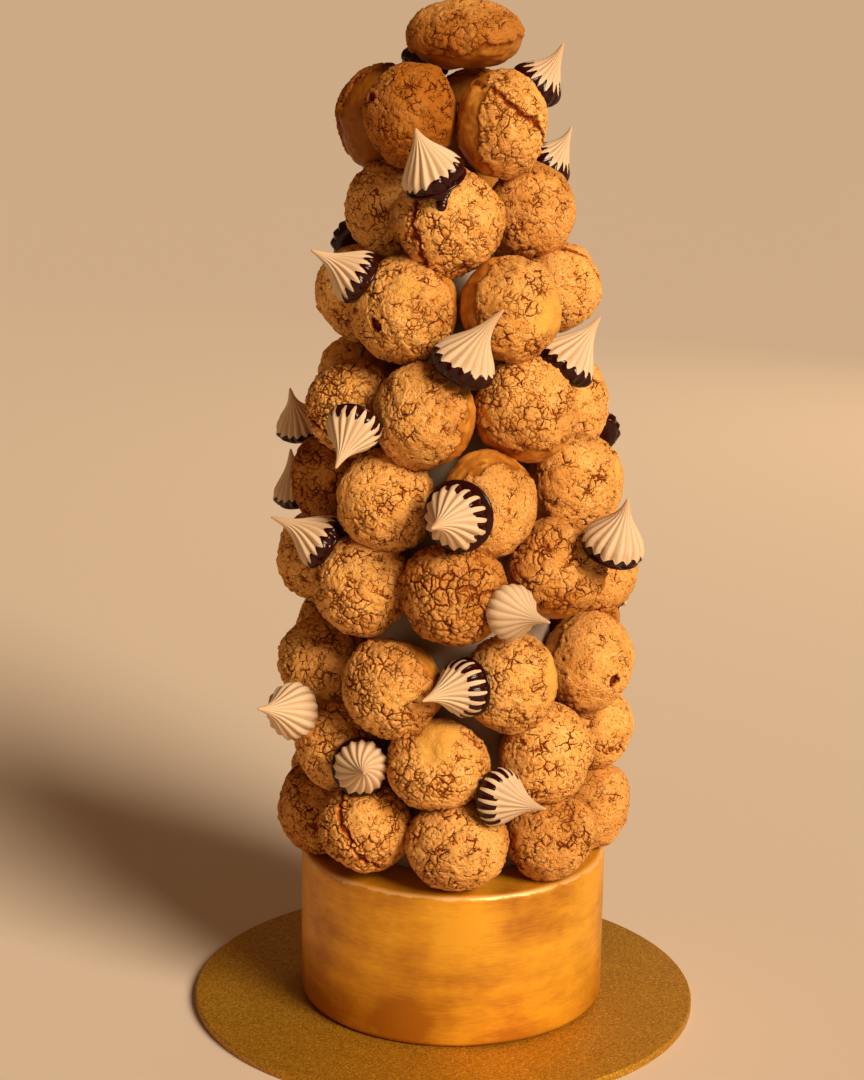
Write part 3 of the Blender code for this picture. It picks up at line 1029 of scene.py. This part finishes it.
            # Into place, with the coat's thickness and the bent, drawn-out tip.
            made.data.transform(place)
            places = places @ turned + np.array(foot)
            coat = self.coat_mm * MM + self.fill * self.flute * (1 - ridge) * wide / 2
            places += (coat * np.clip(0.5 - above, 0, 1))[:, None] * out
            pull = np.clip(share - 0.45, 0, 1) ** 2 / 0.3
            places += (pull * piping.bend * MM)[:, None] * self.side(foot, along, piping.bend_clock)
            places += (pull * piping.longer * MM)[:, None] * np.array(along)
            move_points(made, places)
            store(made, "rise", rise)
            store(made, "above", above)
            if number not in self.undipped:
                # The chocolate pool under the foot is glue, and its dark also stands in for the
                # shade between the foot and the puff.
                spread = piping.pool * wide / 2
                flat = Matrix.Diagonal((spread, spread, self.pool_mm * MM, 1))
                chocolate.append(copy_of(dab, "glue_and_shade", place @ flat))
                select_only(made)
                for drop in chocolate:
                    store(drop, "above", np.full(len(drop.data.vertices), -self.far_mm))
                    drop.select_set(True)
                bpy.ops.object.join()
            select_only(made)
            bpy.ops.object.shade_smooth()
            dress(made, finish, (name,))
        for spare in (blank, dab):
            bpy.data.objects.remove(spare)


# ---- Stand ----------------------------------------------------------------------------
@dataclass(frozen=True)
class GoldPaint:
    """Edible gold paint brushed round a fondant tier: metallic, streaky and uneven.

    Strokes, bristles, clouds and flakes are the real sizes of its patterns, in metres.
    """

    bright: str = "#e8a324"
    deep: str = "#b0690d"
    chipped: str = "#efbd80"
    rough: Pair = (0.5, 0.4)
    strokes: Triple = (0.030, 0.030, 0.0080)
    bristles: Triple = (0.006, 0.006, 0.0009)
    clouds: float = 0.042
    flakes: float = 0.006
    shade_range: Pair = (0.60, 0.92)
    # Painted shade: how far up and how much darker the paint gets towards the tier's foot.
    foot_height: float = 0.045
    foot_shade: float = -0.16
    chips_mm: float = 1.9
    rim_mm: Pair = (0.1, 0.5)

    def material(self, top: float) -> Material:
        """Build the material, with brush strokes that run round the tier.

        Args:
            top: Height of the tier's upper face, where the paint has chipped at the rim.

        Returns:
            The material.
        """
        made, shader, add = new_material("brushed gold paint", Metallic=0.32)
        place = add(OBJECT_PLACE)
        brush = []
        for sizes, detail in ((self.strokes, 4.0), (self.bristles, 2.0)):
            drawn = add(MAPPING, "POINT", place, [1 / size for size in sizes])
            brush.append(add(NOISE, "3D", drawn, 1.0, detail))
        strokes = add(MATH, "MULTIPLY_ADD", brush[1], 0.5, brush[0])
        clouds = add(NOISE, "3D", place, 1 / self.clouds, 5.0)
        mixed = add(MATH, "MULTIPLY_ADD", strokes, 0.40, clouds)
        height = add(SPLIT, "", place).node.outputs[2]
        # Painted shade: the paint darkens towards the tier's foot.
        foot = add(RANGE, "LINEAR", height, 0.0, self.foot_height, self.foot_shade, 0.0)
        mixed = add(MATH, "ADD", mixed, foot)
        shade = add(RANGE, "LINEAR", mixed, *self.shade_range)
        flakes = add(NOISE, "3D", place, 1 / self.flakes, 4.0)
        ragged = add(MATH, "MULTIPLY_ADD", flakes, 2.4 * self.chips_mm * MM, height)
        rim = (top + off * MM for off in self.rim_mm)
        chips = add(RANGE, "LINEAR", ragged, *rim, 0.0, 0.7)
        # The upper face keeps its paint: only the wall and its rim are chipped.
        level = add(SPLIT, "", add(FACING)).node.outputs[2]
        chips = add(MATH, "MULTIPLY", chips, add(RANGE, "LINEAR", level, 0.7, 0.95, 1.0, 0.0))
        colour = add(MIX, "RGBA", shade, self.deep, self.bright)
        colour = add(MIX, "RGBA", chips, colour, self.chipped)
        rough = add(RANGE, "LINEAR", strokes, 0.5, 1.0, *self.rough)
        bump = add(BUMP, "", mixed, 0.2 * MM, 0.3)
        feed(shader, Base_Color=colour, Roughness=rough, Normal=bump)
        return made


@dataclass(frozen=True)
class GlitterFoil:
    """Gold glitter foil on card: fine metallic grains that catch the light one by one.

    The grains are drawn coarser than real so that they show.
    """

    grain: str = "#d29a24"
    dark: str = "#9c6a10"
    spark: str = "#e3b04c"
    grain_mm: float = 0.7
    spark_range: Pair = (0.91, 0.99)
    rough: Pair = (0.45, 0.65)

    def material(self) -> Material:
        """Build the material, with a shade, a spark and a gloss drawn for each grain.

        Returns:
            The material.
        """
        made, shader, add = new_material("gold glitter foil", Metallic=0.6)
        grains = add(CELLS, "F1", add(OBJECT_PLACE), 1 / (self.grain_mm * MM))
        parts = add(COLOUR_PARTS, "", grains.node.outputs["Color"]).node.outputs
        lit = add(RANGE, "LINEAR", parts[1], *self.spark_range)
        colour = add(MIX, "RGBA", parts[0], self.dark, self.grain)
        colour = add(MIX, "RGBA", lit, colour, self.spark)
        rough = add(RANGE, "LINEAR", parts[2], 0.0, 1.0, *self.rough)
        bump = add(BUMP, "", parts[0], 0.1 * MM, 0.25)
        feed(shader, Base_Color=colour, Roughness=rough, Normal=bump)
        return made


@dataclass(frozen=True)
class WhiteIcing:
    """Off-white sugar paste on the core, darkened as painted shade: matt, smooth, faintly uneven.
    """

    # Painted shade: both colours are darker than the paste's own off-white, for the shade in the
    # gaps between the puffs.
    paste: str = "#b9a48f"
    shade: str = "#957f69"
    uneven: float = 0.012

    def material(self) -> Material:
        """Build the material.

        Returns:
            The material.
        """
        made, shader, add = new_material("white sugar paste", Roughness=0.6)
        noise = add(NOISE, "3D", add(OBJECT_PLACE), 1 / self.uneven, 4.0)
        colour = add(MIX, "RGBA", noise, self.shade, self.paste)
        feed(shader, Base_Color=colour, Normal=add(BUMP, "", noise, 0.3 * MM, 0.4))
        return made


@dataclass
class Stand:
    """The board, the painted tier and the core that the puffs are stuck to."""

    sides: int = 240
    core_sides: int = 96
    board_edge_mm: float = 0.9
    tier_edge_mm: float = 3.2
    edge_steps: int = 6
    shoulder: float = 0.230
    tip_mm: float = 9.5

    def drum(self, node: str, edge: float, name: str) -> Thing:
        """Model a smooth drum in the box of a CAD node, its rims rounded.

        Args:
            node: The CAD node.
            edge: Radius of the rounded rims.
            name: The new piece's name.

        Returns:
            The drum.
        """
        low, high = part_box(node)
        made = new_primitive(
            bpy.ops.mesh.primitive_cylinder_add, name, vertices=self.sides,
            radius=(high.x - low.x) / 2, depth=high.z - low.z, location=(low + high) / 2
        )
        rims = made.modifiers.new("rims", "BEVEL")
        rims.width = edge
        rims.segments = self.edge_steps
        rims.angle_limit = math.radians(60)
        apply_modifiers(made)
        bpy.ops.object.shade_smooth_by_angle(angle=math.radians(30))
        return made

    def core(self) -> Thing:
        """Model the core from its CAD node's box: a drum that narrows to a cone at its shoulder.

        Returns:
            The core.
        """
        low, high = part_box("core")
        made = new_primitive(
            bpy.ops.mesh.primitive_cone_add, "core_smooth", vertices=self.core_sides,
            radius1=(high.x - low.x) / 2, radius2=self.tip_mm * MM, depth=high.z - self.shoulder,
            location=((low.x + high.x) / 2, (low.y + high.y) / 2, (high.z + self.shoulder) / 2)
        )
        bpy.ops.object.mode_set(mode="EDIT")
        bpy.ops.mesh.select_all(action="DESELECT")
        bpy.ops.object.mode_set(mode="OBJECT")
        for face in made.data.polygons:
            face.select = face.normal.z < -0.9
        bpy.ops.object.mode_set(mode="EDIT")
        drop = {"value": (0, 0, low.z - self.shoulder)}
        bpy.ops.mesh.extrude_region_move(TRANSFORM_OT_translate=drop)
        bpy.ops.object.mode_set(mode="OBJECT")
        bpy.ops.object.shade_smooth_by_angle(angle=math.radians(35))
        return made

    def build(self) -> None:
        """Make the board, the tier and the core."""
        board = self.drum("board", self.board_edge_mm * MM, "board_card")
        dress(board, GlitterFoil().material(), ("board",))
        tier = self.drum("tier", self.tier_edge_mm * MM, "tier_painted")
        dress(tier, GoldPaint().material(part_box("tier")[1].z), ("tier",))
        dress(self.core(), WhiteIcing().material(), ("core",))


# ---- Studio ---------------------------------------------------------------------------
class LampKind(Enum):
    """Kinds of lamp: a far one is a sun, a near one a panel."""

    SUN = "SUN"
    PANEL = "AREA"


@dataclass(frozen=True)
class Lamp:
    """A lamp that faces the middle of the tower.

    Its size is degrees across for a sun and metres for a panel, its power watts per square
    metre and watts.
    """

    name: str
    kind: LampKind
    place: Triple
    size: float
    power: float
    colour: str


@dataclass
class Studio:
    """Plain pale floor, warm light from the right, and the camera."""

    camera_place: Triple = (-0.0087, -1.1972, 0.5433)
    pitch: float = 14.26
    roll: float = 0.73
    lens: float = 84.37
    floor_radius: float = 25.0
    floor_colour: str = "#dfcbb6"
    air_colour: str = "#ffc088"
    air: float = 0.12
    aim: Triple = (0.0, 0.0, 0.27)
    lamps: tuple[Lamp, ...] = (
        Lamp("key", LampKind.SUN, (5.6, -6.4, 5.5), 26.0, 4.4, "#ffeed4"),
        Lamp("fill", LampKind.PANEL, (-0.1, -1.8, 0.6), 1.2, 1.2, "#ffc184"),
        Lamp("back", LampKind.PANEL, (0.8, 1.5, 0.75), 0.9, 3.5, "#ffdfb4"),
    )

    def build(self) -> None:
        """Make the floor, the light and the camera."""
        floor = new_primitive(
            bpy.ops.mesh.primitive_circle_add, "floor", vertices=96, radius=self.floor_radius,
            fill_type="NGON"
        )
        paper, shader, _ = new_material("pale paper floor", Roughness=0.9)
        shader.inputs["Base Color"].default_value = linear(self.floor_colour)
        floor.data.materials.append(paper)
        for lamp in self.lamps:
            light = bpy.data.lights.new(lamp.name, lamp.kind.value)
            if lamp.kind is LampKind.SUN:
                light.angle = math.radians(lamp.size)
            else:
                light.size = lamp.size
            light.energy = lamp.power
            light.color = linear(lamp.colour)[:3]
            made = bpy.data.objects.new(lamp.name, light)
            made.location = lamp.place
            towards = Vector(self.aim) - made.location
            made.rotation_euler = towards.to_track_quat("-Z", "Y").to_euler()
            bpy.context.scene.collection.objects.link(made)
        world = bpy.data.worlds.new("studio air")
        bpy.context.scene.world = world
        world.use_nodes = True
        air = world.node_tree.nodes["Background"]
        air.inputs["Color"].default_value = linear(self.air_colour)
        air.inputs["Strength"].default_value = self.air
        camera = bpy.data.objects.new("camera", bpy.data.cameras.new("camera"))
        camera.data.lens = self.lens
        pitch = Matrix.Rotation(math.radians(90 - self.pitch), 4, "X")
        roll = Matrix.Rotation(math.radians(self.roll), 4, "Z")
        camera.matrix_world = Matrix.Translation(self.camera_place) @ pitch @ roll
        bpy.context.scene.collection.objects.link(camera)
        bpy.context.scene.camera = camera
        bpy.context.scene.view_settings.view_transform = "Standard"


# ---- The tower's puffs and kisses -----------------------------------------------------
def varied(count: int, seed: int) -> tuple[Look, ...]:
    """Draw looks for a run of puffs round the back, no two alike.

    Args:
        count: How many puffs the run has.
        seed: The seed of its draws.

    Returns:
        One entry for each puff.
    """
    drawn = np.random.default_rng(seed)
    return tuple(
        Look(
            lean=drawn.uniform(0, 30),
            clock=drawn.uniform(0, 360),
            cover=drawn.uniform(84, 106),
            bake=drawn.uniform(0.05, 0.5),
            cracks=drawn.uniform(0.6, 1.25),
            coarse=drawn.uniform(0.85, 1.25),
            patch=Mark(drawn.choice((0.0, 0.0, 30.0)), 60.0, drawn.uniform(0, 360)),
            seam=Mark(
                drawn.choice((0.0, 0.0, 1.0)), 90.0, drawn.uniform(0, 180), drawn.uniform(-8, 8)
            ),
        )
        for _ in range(count)
    )


# The darker bakes of the puffs near the top of the tower, puff_top among them, are partly painted
# shade of the dimmer light there.
RUNS = {
    "puffs_low_1": (Look(42, 44, 30, 90, 100, bake=0.6),),
    "puffs_low_2": (
        Look(43, 43, 15, 90, 104, bake=0.28, cracks=1.1, seam=Mark(1, 90.0, 60, 4)),
        Look(43, 43, 20, 90, 100, cracks=1.1), Look(44, 46, 25, 90, 98, cracks=1.1)
    ),
    "puffs_low_3": (
        Look(46, 42, cover=104, bake=0.25, cracks=0.9, coarse=0.9),
        Look(46, 42, 8, 180, 100, patch=Mark(35, 50, 0), dent=Mark(2, 25, 350)),
        Look(46.5, 47, 12, 225, 86, coarse=0.9, cracks=1.1)
    ),
    "puffs_low_4": (
        Look(43, 42, 10, 270, 100, bake=0.42),
        Look(43.5, 46, 10, 315, 98, cracks=1.15, coarse=1.1),
        Look(42, 46, 8, 300, 98, patch=Mark(38, 55, 80), coarse=0.85)
    ),
    "puffs_low_5": (
        Look(43, 44, 25, 270, 98, bake=0.35, cracks=0.8), Look(44, 42, 20, 270, 98, cracks=0.7),
        Look(44, 46, 25, 270, 98, cracks=0.6, coarse=0.85, hole=Mark(9, 40, 250))
    ),
    "puffs_low_6": varied(3, 1), "puffs_low_7": varied(3, 2), "puffs_low_8": varied(3, 3),
    "puffs_low_9": varied(3, 4),
    "puffs_mid_1": (
        Look(43, 44, 30, 90, 100), Look(43, 43, 40, 90, 98, bake=0.8, cracks=1.1),
        Look(44, 44, 35, 90, 100, cracks=1.3, seam=Mark(1, 90.0, 30, -5))
    ),
    "puffs_mid_2": (
        Look(45, 46, 15, 60, 100, cracks=1.1), Look(44, 46, 15, 90, 105, cracks=1.0),
        Look(46, 48, 18, 315, 78, cracks=0.9)
    ),
    "puffs_mid_3": (
        Look(47, 46.5, 8, 330, 96, bake=0.5, cracks=1.4, coarse=1.2),
        Look(44.5, 50, 22, 135, 72, cracks=0.5, dent=Mark(1.5, 30, 300), hole=Mark(8, 35, 285)),
        Look(46, 49, 50, 335, 82, cracks=1.1, ragged=1.4)
    ),
    "puffs_mid_4": (
        Look(45, 46, 40, 320, 78, bake=0.38, cracks=1.2, coarse=1.35),
        Look(42, 48, 25, 300, 86, cracks=0.8), Look(41, 45, 40, 270, 100, cracks=0.8)
    ),
    "puffs_mid_5": (
        Look(44, 46, 30, 270, 96, bake=0.35, cracks=0.8),
        Look(44, 46, 30, 270, 96, cracks=0.5, patch=Mark(30, 60.0, 60))
    ),
    "puffs_mid_6": varied(3, 5), "puffs_mid_7": varied(3, 6), "puffs_mid_8": varied(3, 7),
    "puffs_high_1": (
        Look(44, 44, 30, 90, 90, bake=0.02, cracks=1.0), Look(43, 44, 50, 90, 100, bake=0.1),
        Look(44, 50, 30, 315, 75, bake=0.9)
    ),
    "puffs_high_2": (
        Look(48.5, 48, lean=4, cover=90, cracks=1.1, hole=Mark(9, 12, 200), patch=Mark(14, 45, 45)),
        Look(47.5, 47, lean=5, cover=106, cracks=1.1, seam=Mark(1, 90.0, 80, -11))
    ),
    "puffs_high_3": (Look(47, 48.5, 15, 60, 80, patch=Mark(38, 40, 90)),),
    "puffs_high_4": (
        Look(43, 40, 35, 270, 100, cracks=0.7, seam=Mark(1, 90.0, 60, 3)),
        Look(41, 42.5, 45, 270, 100, bake=0.35, cracks=0.8)
    ),
    "puffs_high_5": varied(1, 8), "puffs_high_6": varied(3, 9),
    "puffs_high_7": (
        Look(43, 46, lean=10, cover=105, bake=0.84, cracks=0.9, hole=Mark(8, 25, 330)),
        Look(42.5, 49, 25, 90, 86, bake=0.1, seam=Mark(1, 90, 40, 3))
    ),
    # Its bake is partly painted shade of the dimmer light at the top.
    "puff_top": (Look(53, 33, 80, -8, 93, bake=0.5, cracks=0.8),)
}

PIPING = {
    2: Piping(dip=12, teeth=0.3, point=0.6, bend=2.5, bend_clock=0, spin=12),
    3: Piping(
        dip=5, teeth=0.25, slant=3, slant_clock=110, pool=1.0, longer=-4.5, bend=3, bend_clock=340,
        drip=10, drip_aside=4
    ),
    4: Piping(dip=11, teeth=0.3, bend=2.5, bend_clock=0),
    6: Piping(dip=6, teeth=0.5, slant=2, slant_clock=90, bend=2, bend_clock=250, spin=30),
    7: Piping(dip=8, teeth=0.15, slant=0.5, longer=3, bend=5, bend_clock=45),
    8: Piping(dip=8, teeth=0.35, slant=1.5, slant_clock=120, bend=4, bend_clock=60),
    9: Piping(
        dip=6, teeth=0.9, point=0.35, slant=2, slant_clock=45, bend=1.5, bend_clock=225, spin=10
    ),
    10: Piping(dip=4, teeth=0.2), 11: Piping(dip=4, teeth=0.2),
    12: Piping(dip=6, teeth=0.4, longer=1, bend=4, bend_clock=240, spin=45),
    13: Piping(
        dip=5, teeth=1.0, point=0.15, slant=6, slant_clock=60, pool=1.12, bend=2, bend_clock=240,
        spin=30
    ),
    14: Piping(dip=5.5, teeth=0.4, crisp=0.8, plump=0.07, pool=0.95, longer=-2, bend=1, spin=14),
    15: Piping(crisp=0.45, plump=0.05, bend=3, bend_clock=110, spin=10),
    16: Piping(
        dip=9, teeth=1.0, point=0.15, slant=1, slant_clock=60, pool=1.0, bend=1.5, bend_clock=180,
        spin=10
    ),
    17: Piping(crisp=0.7, plump=0.07, bend=1.5, bend_clock=270, spin=15),
    18: Piping(dip=4, teeth=1.0, point=0.9, pool=1.06, bend=2, bend_clock=120, spin=38),
    19: Piping(
        dip=9, teeth=1.0, point=0.1, slant=1, slant_clock=270, bend=2, bend_clock=100, spin=12
    ),
    21: Piping(dip=3)
}


def main() -> None:
    """Build every part of the scene in order."""
    logging.basicConfig(level=logging.INFO, format="%(message)s")
    tower = Tower.from_frame()
    Studio().build()
    Stand().build()
    Puffs(tower, RUNS).build()
    Kisses(tower, PIPING).build()


if __name__ == "__main__":
    main()
